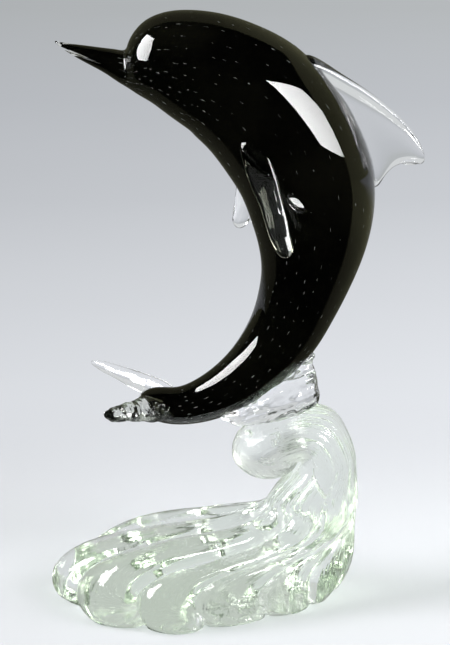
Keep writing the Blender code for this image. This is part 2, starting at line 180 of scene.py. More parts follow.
studio = {
    # azimuth is from the camera's side, edges are on the cloth, and the glow runs from left to right;
    # each cut (a, b, c) keeps what has a * across + b * up + c over 0
    "softboxes": (
        {"name": "softboxRight", "lit": (0.041, -0.026, 0.298), "azimuth": 54.0, "elevation": 23.0,
         "left": -0.500, "right": 0.470, "lower": -0.257, "upper": 0.292, "glow": (26.0, 13.0),
         "cuts": ((1.0, 0.349, -0.349), (-1.40, -1.0, 2.12))},
        {"name": "softboxLeft", "lit": (-0.020, -0.010, 0.250), "azimuth": -80.0, "elevation": 24.0,
         "left": -0.330, "right": 0.380, "lower": -0.380, "upper": 0.520, "glow": (21.0, 15.0),
         "cuts": ((1.0, 1.25, -0.50), (-1.0, -0.80, 1.42))},
    ),
    "softboxDistance": 1.10,
    "cutBlur": 0.01,
    "skyPlace": (0.0, 0.3, 1.7),
    "skySize": 1.3,
    "skyPower": 9.0,
    "tableHalf": 9.0,
    "tableGap": 0.0002,

    # the lit table, left to right and front to back: painted light and shade, darker at the front and to the
    # left
    "nearTable": (0.348, 0.357, 0.370),
    "midTable": (0.383, 0.394, 0.410),
    "paperTurn": (-0.02, 0.10),
    "sideTurn": (-0.3, 0.3),
    "leftShade": 0.954,
    "paintedRightLight": 0.265,
    "litTurn": (0.10, 0.50),  # where it gives way to the sweep

    # the sweep's paleness, by the share of the way to its far end: painted light, palest near the object and
    # darker further off
    "sweepStart": 0.10,
    "sweepEnd": 4.10,
    "sweep": (
        (0.000, (0.770, 0.792, 0.835)),
        (0.084, (0.745, 0.768, 0.806)),
        (0.170, (0.665, 0.686, 0.722)),
        (0.300, (0.560, 0.580, 0.613)),
        (0.512, (0.494, 0.514, 0.545)),
        (0.870, (0.446, 0.466, 0.480)),
    ),
    "sweepGlow": 0.99,
    # painted light: the sweep is lighter towards the right
    "paintedRightGlow": 0.45,
    "slantMost": 0.1,
    "slantOrigin": 1.3,
    "grainScale": 3.0,
    "grainGlow": 0.02,
    # painted light: the sweep is a little brighter where it is seen through glass
    "paintedThroughGlow": 0.04,

    # what glass shows of the table, through it and mirrored in it: painted shade and painted reflection,
    # darker than the table the camera sees
    "farFront": (0.16, 0.17, 0.15),
    "farFrontTurn": (-0.25, -0.6),
    "mirroredTable": (0.10, 0.10, 0.070),
    "mirroredRight": (0.27, 0.27, 0.16),
    "mirroredFront": (0.003, 0.003, 0.003),
    "mirrorSideTurn": (0.15, 0.8),
    "mirrorBackTurn": (1.7, 0.5),
    "mirrorFrontTurn": (0.02, -0.02),
    "mirrorFrontSlant": 0.24,

    # the room: as seen, as fill, mirrored and through glass; the mirrored and refracted copies are painted
    # reflections, dark in front and paler behind and to the right
    "room": (0.43, 0.45, 0.465),
    "fill": (0.30, 0.30, 0.30),
    "mirroredBack": (0.12, 0.12, 0.075),
    "roomRightTurn": (0.05, 0.5),
    "roomBackTurn": (0.30, 0.36),
    "roomEarlyTurn": (0.55, 0.92),  # to the right the pale side starts earlier
    "roomEarly": 0.56,
    "glassFront": (0.17, 0.18, 0.17),
    "glassBack": (0.68, 0.70, 0.71),
    "glassTurn": (-0.45, 0.05),
}


def makeSoftbox(plan):
    turn, rise = math.radians(plan["azimuth"]), math.radians(plan["elevation"])
    away = Vector((math.sin(turn) * math.cos(rise), -math.cos(turn) * math.cos(rise), math.sin(rise)))
    facing = away.to_track_quat("Z", "Y")
    middle = facing @ Vector(((plan["left"] + plan["right"]) / 2, (plan["lower"] + plan["upper"]) / 2, 0.0))
    place = Vector(plan["lit"]) + away * studio["softboxDistance"] + middle
    bpy.ops.object.light_add(type="AREA", location=place)
    box = bpy.context.active_object
    box.name = plan["name"]
    box.rotation_euler = facing.to_euler()
    wide, tall = plan["right"] - plan["left"], plan["upper"] - plan["lower"]
    box.data.shape = "RECTANGLE"
    box.data.size = wide
    box.data.size_y = tall
    box.data.energy = math.pi * wide * tall
    box.data.use_nodes = True
    cloth = Finish(plan["name"], box.data.node_tree)
    across, up, _ = cloth.split(cloth.add("NewGeometry", out="Parametric"))
    atLeft, atRight = plan["glow"]
    glow = across * (atRight - atLeft) + atLeft
    blur = studio["cutBlur"]
    for alongAcross, alongUp, shift in plan["cuts"]:
        glow = glow * cloth.step(across * alongAcross + up * alongUp + shift, -blur, blur)
    cloth.done(cloth.add("Emission", sockets={"Strength": glow}), kind="OutputLight")


def makeSky():
    bpy.ops.object.light_add(type="AREA", location=studio["skyPlace"])
    sky = bpy.context.active_object
    sky.name = "skyPanel"
    sky.data.size = studio["skySize"]
    sky.data.energy = studio["skyPower"]
    sky.visible_glossy = sky.visible_transmission = False  # it fills, and isn't mirrored in the glass


def makeTable():
    bpy.ops.object.select_all(action="DESELECT")
    bpy.ops.mesh.primitive_grid_add(x_subdivisions=2, y_subdivisions=2, size=studio["tableHalf"] * 2,
                                    location=(0.0, 0.0, -studio["tableGap"]))
    table = bpy.context.active_object
    table.name = "table"
    finish = Finish("palePaper")
    sideways, away, _ = finish.split(finish.objectPlace())
    through = finish.add("LightPath", out="Transmission Depth").atMost(1.0)
    mirrored = finish.add("LightPath", out="Is Glossy Ray") * (1.0 - through)

    # near the object the table is lit and takes its shadow; its colour is painted darker at the front
    paper = finish.mixed(finish.step(away, *studio["paperTurn"]), studio["nearTable"], studio["midTable"])
    # painted light: the table's colour is lighter towards the right, where the key softbox stands
    side = finish.step(sideways, *studio["sideTurn"]) * studio["paintedRightLight"] + studio["leftShade"]
    paper = finish.add("VectorMath", {"operation": "SCALE"}, {0: paper, "Scale": side})
    lit = finish.add("BsdfPrincipled", sockets={
        "Base Color": paper, "Roughness": 0.7, "Specular IOR Level": 0.2})

    # further off, and for the glass, it glows as a sweep of painted light: palest near the object, darker
    # further off and lighter to the right
    start, end = studio["sweepStart"], studio["sweepEnd"]
    pale = finish.add("ValToRGB", {"stops": studio["sweep"]}, {0: (away - start) * (1.0 / (end - start))})
    # painted shade and reflection: through glass the table's front is dark, and mirrored in glass the table is
    # dark, nearly black towards the camera
    pale = finish.mixed(through * finish.step(away, *studio["farFrontTurn"]), pale, studio["farFront"])
    dark = finish.mixed(finish.step(sideways, *studio["mirrorSideTurn"]), studio["mirroredTable"],
                        studio["mirroredRight"])
    pale = finish.mixed(mirrored * finish.step(away, *studio["mirrorBackTurn"]), pale, dark)
    front = finish.step(away + sideways.atLeast(0.0) * studio["mirrorFrontSlant"], *studio["mirrorFrontTurn"])
    pale = finish.mixed(mirrored * front, pale, studio["mirroredFront"])
    # painted light: lighter towards the right, and brighter through glass
    slant = sideways / (away + studio["slantOrigin"]).atLeast(0.3) * studio["paintedRightGlow"]
    grain = finish.noise(finish.objectPlace(), studio["grainScale"], detail=2.0)
    level = slant.atMost(studio["slantMost"]).atLeast(-studio["slantMost"]) + studio["sweepGlow"]
    level = level + grain * studio["grainGlow"] + through * studio["paintedThroughGlow"]
    pale = finish.add("VectorMath", {"operation": "SCALE"}, {0: pale, "Scale": level})
    glow = finish.add("Emission", sockets={"Color": pale})
    seen = finish.add("LightPath", out="Is Camera Ray") * finish.step(away, *studio["litTurn"])
    seen = seen.atLeast(through).atLeast(mirrored)
    finish.done(finish.add("MixShader", sockets={0: seen, 1: lit, 2: glow}))
    table.data.materials.append(finish.material)


def makeRoom():
    world = bpy.data.worlds.new("Studio")
    bpy.context.scene.world = world
    world.use_nodes = True
    air = Finish("room", world.node_tree)
    rightward, toward, _ = air.split(air.add("TexCoord", out="Generated"))
    # painted reflection: the glass mirrors and refracts a room unlike the one the camera sees, nearly black in
    # front
    early = air.step(rightward, *studio["roomEarlyTurn"]) * studio["roomEarly"]
    lifted = air.mixed(air.step(rightward, *studio["roomRightTurn"]), studio["mirroredBack"],
                       studio["mirroredRight"])
    mirrored = air.mixed(air.step(toward + early, *studio["roomBackTurn"]), studio["mirroredFront"], lifted)
    refracted = air.mixed(air.step(toward, *studio["glassTurn"]), studio["glassFront"], studio["glassBack"])
    shade = air.mixed(air.add("LightPath", out="Is Camera Ray"), studio["fill"], studio["room"])
    shade = air.mixed(air.add("LightPath", out="Is Glossy Ray"), shade, mirrored)
    shade = air.mixed(air.add("LightPath", out="Transmission Depth").atMost(1.0), shade, refracted)
    air.done(air.add("Background", sockets={"Color": shade, "Strength": 1.0}), kind="OutputWorld")


makeCamera()
for plan in studio["softboxes"]:
    makeSoftbox(plan)
makeSky()
makeTable()
makeRoom()
print("studio: camera, table and", len(studio["softboxes"]), "softboxes")


# Glass finishes

glass = {
    # roughness of the smears, height and grain of the waves, tint and its density
    "casingGlass": (0.02, 0.00003, 30.0, (0.45, 0.45, 0.34), 50.0),
    "finGlass": (0.02, 0.0002, 60.0, (0.55, 0.62, 0.58), 2.0),
    "smokeGlass": (0.02, 0.0002, 60.0, (0.45, 0.46, 0.40), 300.0),
    "flukeGlass": (0.02, 0.0014, 150.0, (0.50, 0.53, 0.46), 75.0),
    "waveGlass": (0.02, 0.0003, 40.0, (0.45, 0.64, 0.34), 3.8),
    "refraction": 1.5,
    "shadow": (0.90, 0.92, 0.90),
    "smearTurn": (0.5, 0.8),
    "frostRough": 0.16,
    "frostSmear": 0.14,
    "coreShades": ((0.0004, 0.0004, 0.0003), (0.0016, 0.0016, 0.0010)),
    # painted glints of the bubbles: dim and bright greys
    "paintedBubbleGlints": ((0.03, 0.03, 0.03), (0.42, 0.44, 0.45)),
}


def glassFinish(name, shadow=glass["shadow"], frost=None, drawn=None):
    rough, waviness, grain, tint, density = glass[name]
    finish = Finish(name)
    place = finish.objectPlace()
    waves = finish.noise(place, grain, detail=2.0, roughness=0.4)
    if drawn:  # lines drawn along the ribs: how close across and along them, and how deep
        across, lengthwise, depth = drawn
        ribs = finish.add("TexCoord", out="UV")
        flow = finish.add("VectorMath", {"operation": "MULTIPLY"}, {0: ribs, 1: (across, lengthwise, 0.0)})
        waves = waves + finish.noise(flow, 1.0, detail=3.0, roughness=0.5) * depth
    normal = finish.add("Bump", sockets={"Strength": 1.0, "Distance": waviness, "Height": waves})
    smear = finish.noise(place, grain * 0.6, detail=3.0)
    dull = finish.step(smear, *glass["smearTurn"]) * rough
    if frost:  # center and reach of the frosted cap, and the height it ends at
        center, reach, level = frost
        far = finish.add("VectorMath", {"operation": "DISTANCE"}, {0: place, 1: center}, out=1)
        height = finish.split(place)[2]
        frosted = finish.step(far, reach * 1.15, reach * 0.95)
        frosted = frosted * finish.step(height, level + 0.004, level - 0.003)
        dull = dull.atLeast(frosted * (glass["frostRough"] + smear * glass["frostSmear"]))
    shader = finish.add("BsdfPrincipled", sockets={
        "Base Color": (1.0, 1.0, 1.0),
        "Roughness": dull,
        "IOR": glass["refraction"],
        "Transmission Weight": 1.0,
        "Normal": normal,
    })
    pale = finish.add("BsdfTransparent", sockets={"Color": shadow})
    shaded = finish.add("LightPath", out="Is Shadow Ray")
    surface = finish.add("MixShader", sockets={0: shaded, 1: shader, 2: pale})
    finish.done(surface, finish.add("VolumeAbsorption", sockets={"Color": tint, "Density": density}))
    return finish


def coreFinish():
    finish = Finish("blackCore")
    cloud = finish.noise(finish.objectPlace(), 22.0, detail=3.0, distortion=0.4)
    shade = finish.mixed(finish.step(cloud, 0.35, 0.7), *glass["coreShades"])
    finish.done(finish.add("BsdfPrincipled", sockets={
        "Base Color": shade, "Roughness": 0.6, "Specular IOR Level": 0.0}))
    return finish


# painted glint: the bubbles are opaque specks whose pale grey colour stands in for the light an air bubble
# reflects
def paintedGlintFinish():
    finish = Finish("paintedBubbleGlint")
    spread = finish.noise(finish.objectPlace(), 400.0, detail=1.0)
    shade = finish.mixed(finish.step(spread, 0.35, 0.65), *glass["paintedBubbleGlints"])
    finish.done(finish.add("BsdfPrincipled", sockets={"Base Color": shade, "Roughness": 0.25}))
    return finish


# Lofts: a circle drawn out ring by ring

loft = {
    "smoothing": 2,
    # bead on a leading edge: where it starts and how wide it is, as shares of the half chord, and its height
    "beadFrom": 0.66,
    "beadWidth": 0.25,
    "beadHeight": 3.0,
    # the finer part of the wander, as shares of the coarse one
    "fineGrain": 2.7,
    "fineAmount": 0.35,
}


def along(rows, position):
    last = len(rows) - 1
    start = min(max(int(math.floor(position)), 0), last - 1)
    four = [rows[min(max(start + step, 0), last)] for step in (-1, 0, 1, 2)]
    return [throughPoints(*column, position - start) for column in zip(*four)]


def throughPoints(a, b, c, d, share):
    slopeB, slopeC = (c - a) / 2, (d - b) / 2
    cubic = 2 * b - 2 * c + slopeB + slopeC
    return ((cubic * share - 3 * b + 3 * c - 2 * slopeB - slopeC) * share + slopeB) * share + b


def sampled(rows, steps):
    return [along(rows, index / steps) for index in range((len(rows) - 1) * steps + 1)]


def eased(share):
    share = min(max(share, 0.0), 1.0)
    return share * share * (3.0 - 2.0 * share)


def drawnLoft(name, sides, rings, lying=False, bead=0.0):
    # a ring is its two outer points in the middle plane and its half thickness, across that plane or in it
    bpy.ops.object.select_all(action="DESELECT")
    bpy.ops.mesh.primitive_circle_add(vertices=sides, radius=1.0, fill_type="NGON",
                                      location=(0.0, 0.0, 0.0))
    piece = bpy.context.active_object
    piece.name = piece.data.name = name
    for vertex in piece.data.vertices:
        edge = eased((vertex.co.x - loft["beadFrom"]) / loft["beadWidth"])
        vertex.co.y *= 1.0 + bead * (edge * loft["beadHeight"] - 1.0) * 0.5
    bpy.ops.object.mode_set(mode="EDIT")
    bpy.ops.mesh.select_all(action="SELECT")
    if lying:
        bpy.ops.transform.rotate(value=math.pi / 2, orient_axis="X", center_override=(0.0, 0.0, 0.0))
    # smoothing draws a ring in by this much
    swell = 1.0 / (2.0 / 3.0 + math.cos(2.0 * math.pi / sides) / 3.0)
    middle, tilt, size = Vector((0.0, 0.0, 0.0)), 0.0, Vector((1.0, 1.0, 1.0))
    for index, (first, second, half) in enumerate(rings):
        newMiddle = (first + second) / 2
        newTilt = math.atan2(first.z - second.z, first.x - second.x)
        reach = (first - second).length / 2 * swell
        newSize = Vector((reach, 1.0, half * swell)) if lying else Vector((reach, half * swell, 1.0))
        move = newMiddle - middle
        if index:
            bpy.ops.mesh.extrude_region_move(TRANSFORM_OT_translate={"value": move})
        else:
            bpy.ops.transform.translate(value=move)
        bpy.ops.transform.rotate(value=-tilt, orient_axis="Y", center_override=newMiddle)
        bpy.ops.transform.resize(value=[b / a for a, b in zip(size, newSize)], center_override=newMiddle)
        bpy.ops.transform.rotate(value=newTilt, orient_axis="Y", center_override=newMiddle)
        middle, tilt, size = newMiddle, newTilt, newSize
    bpy.ops.mesh.select_all(action="SELECT")
    bpy.ops.mesh.normals_make_consistent(inside=False)
    bpy.ops.object.mode_set(mode="OBJECT")
    smooth = piece.modifiers.new("smooth", "SUBSURF")
    smooth.levels = smooth.render_levels = loft["smoothing"]
    bpy.ops.object.modifier_apply(modifier="smooth")
    bpy.ops.object.shade_smooth()
    return piece


def wander(piece, amount, grain):
    # hand-drawn glass is never quite even
    for vertex in piece.data.vertices:
        vertex.co += noise.noise_vector(vertex.co * grain) * amount
        vertex.co += noise.noise_vector(vertex.co * grain * loft["fineGrain"]) * (amount * loft["fineAmount"])


def only(piece):
    bpy.ops.object.select_all(action="DESELECT")
    piece.select_set(True)
    bpy.context.view_layer.objects.active = piece


# Dolphin: a black core cased in clear glass, with rows of tiny bubbles between the two, their glints painted
# on

dolphin = {
    # back x, back z, belly x, belly z, half width, from the seat, beak to tail
    "sections": (
        (-0.1248, 0.2103, -0.1236, 0.2080, 0.0014),
        (-0.1166, 0.2085, -0.1145, 0.2019, 0.0042),
        (-0.1075, 0.2074, -0.1054, 0.1968, 0.0064),
        (-0.0984, 0.2062, -0.0963, 0.1919, 0.0084),
        (-0.0892, 0.2051, -0.0883, 0.1864, 0.0104),
        (-0.0841, 0.2046, -0.0826, 0.1830, 0.0120),
        (-0.0823, 0.2094, -0.0774, 0.1795, 0.0160),
        (-0.0782, 0.2162, -0.0729, 0.1769, 0.0200),
        (-0.0713, 0.2225, -0.0677, 0.1737, 0.0240),
        (-0.0604, 0.2266, -0.0591, 0.1671, 0.0284),
        (-0.0468, 0.2276, -0.0505, 0.1610, 0.0318),
        (-0.0286, 0.2255, -0.0466, 0.1580, 0.0336),
        (-0.0068, 0.2183, -0.0438, 0.1549, 0.0350),
        (0.0172, 0.2048, -0.0352, 0.1466, 0.0368),
        (0.0411, 0.1772, -0.0244, 0.1317, 0.0380),
        (0.0577, 0.1432, -0.0171, 0.1199, 0.0372),
        (0.0606, 0.1150, -0.0118, 0.1058, 0.0344),
        (0.0558, 0.0890, -0.0077, 0.0928, 0.0308),
        (0.0466, 0.0655, -0.0054, 0.0785, 0.0272),
        (0.0368, 0.0456, -0.0066, 0.0649, 0.0238),
        (0.0248, 0.0251, -0.0109, 0.0483, 0.0208),
        (0.0056, 0.0057, -0.0199, 0.0315, 0.0180),
        (-0.0139, -0.0074, -0.0308, 0.0187, 0.0156),
        (-0.0340, -0.0157, -0.0434, 0.0090, 0.0140),
        (-0.0525, -0.0185, -0.0548, 0.0038, 0.0132),
        (-0.0660, -0.0168, -0.0645, 0.0040, 0.0130),
        (-0.0738, -0.0126, -0.0728, 0.0030, 0.0112),
        (-0.0784, -0.0074, -0.0780, -0.0008, 0.0066),
    ),
    "sides": 24,
    # mouth: length, gap at the tip, gap at the back, tilt, half width, and where it starts, from the seat
    "slit": (0.0300, 0.0017, 0.0003, 19.9, 0.0200),
    "slitTip": (-0.1240, 0.0, 0.2073),
    "slitSpare": 0.0005,  # wider than that in the core
    "casing": 0.0010,  # thickness of the clear glass over the core
    "coreFrom": 0.5,
    "coreTo": 26.8,
    "coreSteps": 60,
    "coreTip": (2.2, 0.1),  # body sections over which it fills out, and what it starts with
    "coreTail": (2.8, 0.06),
    "coreThinnest": 0.0004,
    "bubbleRows": 26,
    "bubbleFrom": 4.0,
    "bubbleTo": 24.0,
    "bubbleSteps": (0.40, 0.45, 0.55, 1.1),
    "bubbleDrift": 3.0,
    "bubbleDepths": (0.3, 0.7),  # share of the casing
    "bubbleLength": 0.0013,
    "bubbleLengths": (0.3, 0.6, 0.9, 1.1, 1.4),
    "bubbleWidth": 0.00009,
    "bubbleWidths": (0.7, 1.2),
}


def bodySection(position):
    backX, backZ, bellyX, bellyZ, half = along(dolphin["sections"], position)
    return seat + Vector((backX, 0.0, backZ)), seat + Vector((bellyX, 0.0, bellyZ)), half


def bodyPoint(position, angle, depth=0.0):
    back, belly, half = bodySection(position)
    middle, reach = (back + belly) / 2, (back - belly) / 2
    shrink = max(1.0 - depth / reach.length, 0.05)
    turn = math.radians(angle)
    wide = max(half - depth, 0.0002)
    return middle + reach * (shrink * math.cos(turn)) + Vector((0.0, wide * math.sin(turn), 0.0))


def overBack(position, height):
    back = bodySection(position)[0]
    ahead = bodySection(position + 0.05)[0] - bodySection(position - 0.05)[0]
    return back + Vector((-ahead.z, 0.0, ahead.x)).normalized() * height


def slit(piece, spare):
    # a wedge cut between the jaws, from the tip back
    length, tipGap, backGap, tilt, half = dolphin["slit"]
    bpy.ops.object.select_all(action="DESELECT")
    bpy.ops.mesh.primitive_cube_add(size=1.0, location=(0.0, 0.0, 0.0))
    wedge = bpy.context.active_object
    bpy.ops.object.mode_set(mode="EDIT")
    bpy.ops.mesh.select_all(action="SELECT")
    bpy.ops.transform.resize(value=(length, half * 2, tipGap + spare), center_override=(0.0, 0.0, 0.0))
    bpy.ops.mesh.select_all(action="DESELECT")
    bpy.ops.object.mode_set(mode="OBJECT")
    for face in wedge.data.polygons:
        face.select = face.normal.x > 0.5
    bpy.ops.object.mode_set(mode="EDIT")
    bpy.ops.mesh.select_mode(type="FACE")
    bpy.ops.transform.resize(value=(1.0, 1.0, (backGap + spare) / (tipGap + spare)),
                             center_override=(0.0, 0.0, 0.0))
    bpy.ops.mesh.select_all(action="SELECT")
    bpy.ops.transform.translate(value=(length / 2, 0.0, 0.0))
    bpy.ops.transform.rotate(value=-math.radians(tilt), orient_axis="Y", center_override=(0.0, 0.0, 0.0))
    bpy.ops.transform.translate(value=seat + Vector(dolphin["slitTip"]))
    bpy.ops.object.mode_set(mode="OBJECT")
    only(piece)
    cut = piece.modifiers.new("cut", "BOOLEAN")
    cut.operation = "DIFFERENCE"
    cut.object = wedge
    cut.solver = "EXACT"
    bpy.ops.object.modifier_apply(modifier="cut")
    bpy.data.objects.remove(wedge)
    bpy.ops.object.shade_smooth_by_angle(angle=math.radians(50.0))


def coreRing(step):
    start, end, casing = dolphin["coreFrom"], dolphin["coreTo"], dolphin["casing"]
    position = start + (end - start) * step / dolphin["coreSteps"]
    back, belly, half = bodySection(position)
    middle, reach = (back + belly) / 2, (back - belly) / 2
    taper = 1.0
    for away, (span, least) in ((position - start, dolphin["coreTip"]), (end - position, dolphin["coreTail"])):
        taper = min(taper, math.sqrt(max(away / span, 0.0)) + least)
    share = taper * (1.0 - casing / reach.length)
    return middle + reach * share, middle - reach * share, max(half - casing, dolphin["coreThinnest"]) * taper


def makeBody():
    count = (len(dolphin["sections"]) - 1) * 2
    casing = drawnLoft("bodyCasing", dolphin["sides"], [bodySection(step / 2) for step in range(count + 1)])
    slit(casing, 0.0)
    wear(casing, glassFinish("casingGlass"), node="dolphin_body")

    rings = [coreRing(step) for step in range(dolphin["coreSteps"] + 1)]
    core = drawnLoft("bodyCore", dolphin["sides"], rings)
    slit(core, dolphin["slitSpare"])
    wear(core, coreFinish())


def makeBubbles():
    random.seed(7)
    mesh = bmesh.new()
    bpy.ops.object.select_all(action="DESELECT")
    bpy.ops.mesh.primitive_ico_sphere_add(subdivisions=1, radius=1.0)
    bubbles = bpy.context.active_object
    drifted = dolphin["bubbleDrift"]
    for row in range(dolphin["bubbleRows"]):
        angle = 360.0 * (row + 0.3) / dolphin["bubbleRows"]
        position = dolphin["bubbleFrom"] + random.random()
        while position < dolphin["bubbleTo"]:
            drift = angle + random.uniform(-drifted, drifted)
            depth = random.uniform(*dolphin["bubbleDepths"]) * dolphin["casing"]
            place = bodyPoint(position, drift, depth)
            flow = (bodyPoint(position + 0.1, drift, depth) - place).normalized()
            out = (place - bodyPoint(position, drift, depth + 0.001)).normalized()
            side = flow.cross(out)
            long = dolphin["bubbleLength"] * random.choice(dolphin["bubbleLengths"])
            wide = dolphin["bubbleWidth"] * random.uniform(*dolphin["bubbleWidths"])
            for vertex in bmesh.ops.create_icosphere(mesh, subdivisions=1, radius=1.0)["verts"]:
                local = vertex.co.copy()
                vertex.co = place + flow * local.x * long + out * local.z * wide + side * local.y * wide
            position += random.choice(dolphin["bubbleSteps"])
    mesh.to_mesh(bubbles.data)
    mesh.free()
    bubbles.name = bubbles.data.name = "bubbles"
    only(bubbles)
    bpy.ops.object.shade_smooth()
    wear(bubbles, paintedGlintFinish())


makeBody()
makeBubbles()
print("dolphin: casing, core and bubbles")


# Fins, drawn out of clear glass

fins = {
    "sides": 20,
    # leading edge and trailing edge as body section and height over the back, and half thickness
    "dorsal": (
        (13.10, -0.0050, 15.60, -0.0050, 0.0130),
        (13.15, 0.0010, 15.62, 0.0010, 0.0085),
        (13.70, 0.0075, 15.40, 0.0060, 0.0044),
        (14.25, 0.0168, 15.26, 0.0125, 0.0038),
        (14.72, 0.0255, 15.25, 0.0205, 0.0034),
        (15.02, 0.0292, 15.30, 0.0270, 0.0034),
        (15.16, 0.0302, 15.26, 0.0298, 0.0020),
    ),
    # share of the length, half chord and half thickness
    "pectoral": (
        (-0.26, 0.0040, 0.0028),
        (-0.14, 0.0078, 0.0036),
        (0.06, 0.0082, 0.0032),
        (0.35, 0.0070, 0.0024),
        (0.65, 0.0062, 0.0022),
        (0.88, 0.0054, 0.0030),
        (0.97, 0.0036, 0.0026),
        (1.00, 0.0013, 0.0010),
    ),
    "pectoralRoot": (13.85, 0.27),
    # side, length, sweep and splay
    "nearPectoral": (-1, 0.0580, 17.0, 17.0),
    "farPectoral": (1, 0.0600, -9.0, 19.0),
    "pectoralWander": (0.0007, 55.0),
    "folds": 0.0004,
    "foldsAcross": 420.0,
    "foldsAlong": 28.0,
    # place, half sizes, tilt and facing; the drop hangs at the dorsal fin's rear corner, from the seat,
    # and the gob's place is body section, angle and depth
    "drop": ((0.0800, 0.0, 0.1397), (0.0048, 0.0018, 0.0017), -3.0, (0.0, -1.0, 0.0)),
    "gob": ((15.35, -103.0, -0.0002), (0.0074, 0.0014, 0.0044), -42.0, (0.43, -0.84, 0.33)),
    "tailSection": 25.0,
    "nearFlukeWander": (0.0012, 130.0),
    "farFlukeWander": (0.0003, 45.0),
    "flukeFine": (0.25, 2.2),  # a second, finer wander, as shares of the first
    # distance out, leading x and z, trailing x and z, half thickness
    "nearFluke": (
        (0.0060, 0.0060, -0.0072, -0.0060, 0.0060, 0.0040),
        (0.0120, 0.0078, -0.0065, -0.0090, 0.0085, 0.0052),
        (0.0220, -0.0020, -0.0030, -0.0130, 0.0100, 0.0048),
        (0.0340, -0.0118, 0.0008, -0.0202, 0.0102, 0.0046),
        (0.0450, -0.0215, 0.0035, -0.0288, 0.0098, 0.0040),
        (0.0500, -0.0275, 0.0070, -0.0308, 0.0098, 0.0022),
    ),
    "farFluke": (
        (0.0060, 0.0110, 0.0040, -0.0070, 0.0030, 0.0046),
        (0.0130, 0.0060, 0.0075, -0.0110, 0.0045, 0.0048),
        (0.0230, -0.0060, 0.0095, -0.0210, 0.0065, 0.0044),
        (0.0340, -0.0180, 0.0110, -0.0290, 0.0080, 0.0038),
        (0.0450, -0.0330, 0.0130, -0.0395, 0.0100, 0.0030),
        (0.0500, -0.0420, 0.0130, -0.0445, 0.0118, 0.0014),
    ),
}


def makeDorsal(finish):
    rings = []
    for lead, leadHeight, trail, trailHeight, half in sampled(fins["dorsal"], 3):
        rings.append((overBack(lead, leadHeight), overBack(trail, trailHeight), half))
    fin = drawnLoft("dorsalFin", fins["sides"], rings, bead=1.0)
    wear(fin, finish, node="dorsal_fin")


def makePectoral(name, node, finish):
    side, length, sweep, splay = fins[name]
    section, rise = fins["pectoralRoot"]
    root = bodyPoint(section, side * math.degrees(math.acos(2 * rise - 1)))
    down = Vector((math.sin(math.radians(sweep)), 0.0, -math.cos(math.radians(sweep))))
    chord = Vector((-down.z, 0.0, down.x))
    rings = []
    for share, half, thick in sampled(fins["pectoral"], 3):
        middle = root + down * length * share
        rings.append((middle - chord * half, middle + chord * half, thick))
    fin = drawnLoft(name + "Fin", fins["sides"], rings)
    for vertex in fin.data.vertices:
        place = vertex.co - root
        across, lengthwise = place.dot(chord) * fins["foldsAcross"], place.dot(down) * fins["foldsAlong"]
        vertex.co.y += side * noise.noise(Vector((across, lengthwise, 1.7 * side))) * fins["folds"]
    bpy.ops.object.mode_set(mode="EDIT")
    bpy.ops.mesh.select_all(action="SELECT")
    bpy.ops.transform.rotate(value=math.radians(-splay * side), orient_axis="X", center_override=root)
    bpy.ops.object.mode_set(mode="OBJECT")
    wander(fin, *fins["pectoralWander"])
    wear(fin, finish, node=node)


def makeFluke(name, node, side, finish):
    back, belly, _ = bodySection(fins["tailSection"])
    tail = (back + belly) / 2
    rings = []
    for out, leadX, leadZ, trailX, trailZ, half in sampled(fins[name], 3):
        lead, trail = Vector((leadX, side * out, leadZ)), Vector((trailX, side * out, trailZ))
        rings.append((tail + lead, tail + trail, half))
    fin = drawnLoft(name, fins["sides"], rings, lying=True)
    amount, grain = fins[name + "Wander"]
    wander(fin, amount, grain)
    fineAmount, fineGrain = fins["flukeFine"]
    wander(fin, amount * fineAmount, grain * fineGrain)
    wear(fin, finish, node=node)


def makeGob(name, center, size, tilt, facing, finish):
    bpy.ops.object.select_all(action="DESELECT")
    bpy.ops.mesh.primitive_ico_sphere_add(subdivisions=4, radius=1.0, location=(0.0, 0.0, 0.0))
    gob = bpy.context.active_object
    gob.name = gob.data.name = name
    bpy.ops.object.mode_set(mode="EDIT")
    bpy.ops.mesh.select_all(action="SELECT")
    bpy.ops.transform.resize(value=size, center_override=(0.0, 0.0, 0.0))
    bpy.ops.transform.rotate(value=math.radians(tilt), orient_axis="Y", center_override=(0.0, 0.0, 0.0))
    bpy.ops.object.mode_set(mode="OBJECT")
    turn = Vector(facing).to_track_quat("-Y", "Z")
    for vertex in gob.data.vertices:
        vertex.co = turn @ vertex.co + center
    bpy.ops.object.shade_smooth()
    wear(gob, finish)


finGlass = glassFinish("finGlass")
makeDorsal(finGlass)
smokeGlass = glassFinish("smokeGlass")
makePectoral("nearPectoral", "near_pectoral_fin", smokeGlass)
makePectoral("farPectoral", "far_pectoral_fin", finGlass)
makeFluke("nearFluke", "near_tail_fluke", -1, glassFinish("flukeGlass"))
makeFluke("farFluke", "far_tail_fluke", 1, finGlass)
makeGob("dorsalDrop", seat + Vector(fins["drop"][0]), *fins["drop"][1:], finGlass)
makeGob("pectoralGob", bodyPoint(*fins["gob"][0]), *fins["gob"][1:], finGlass)
print("fins: five blades and two gobs")


# Joining pad between the crest and the dolphin

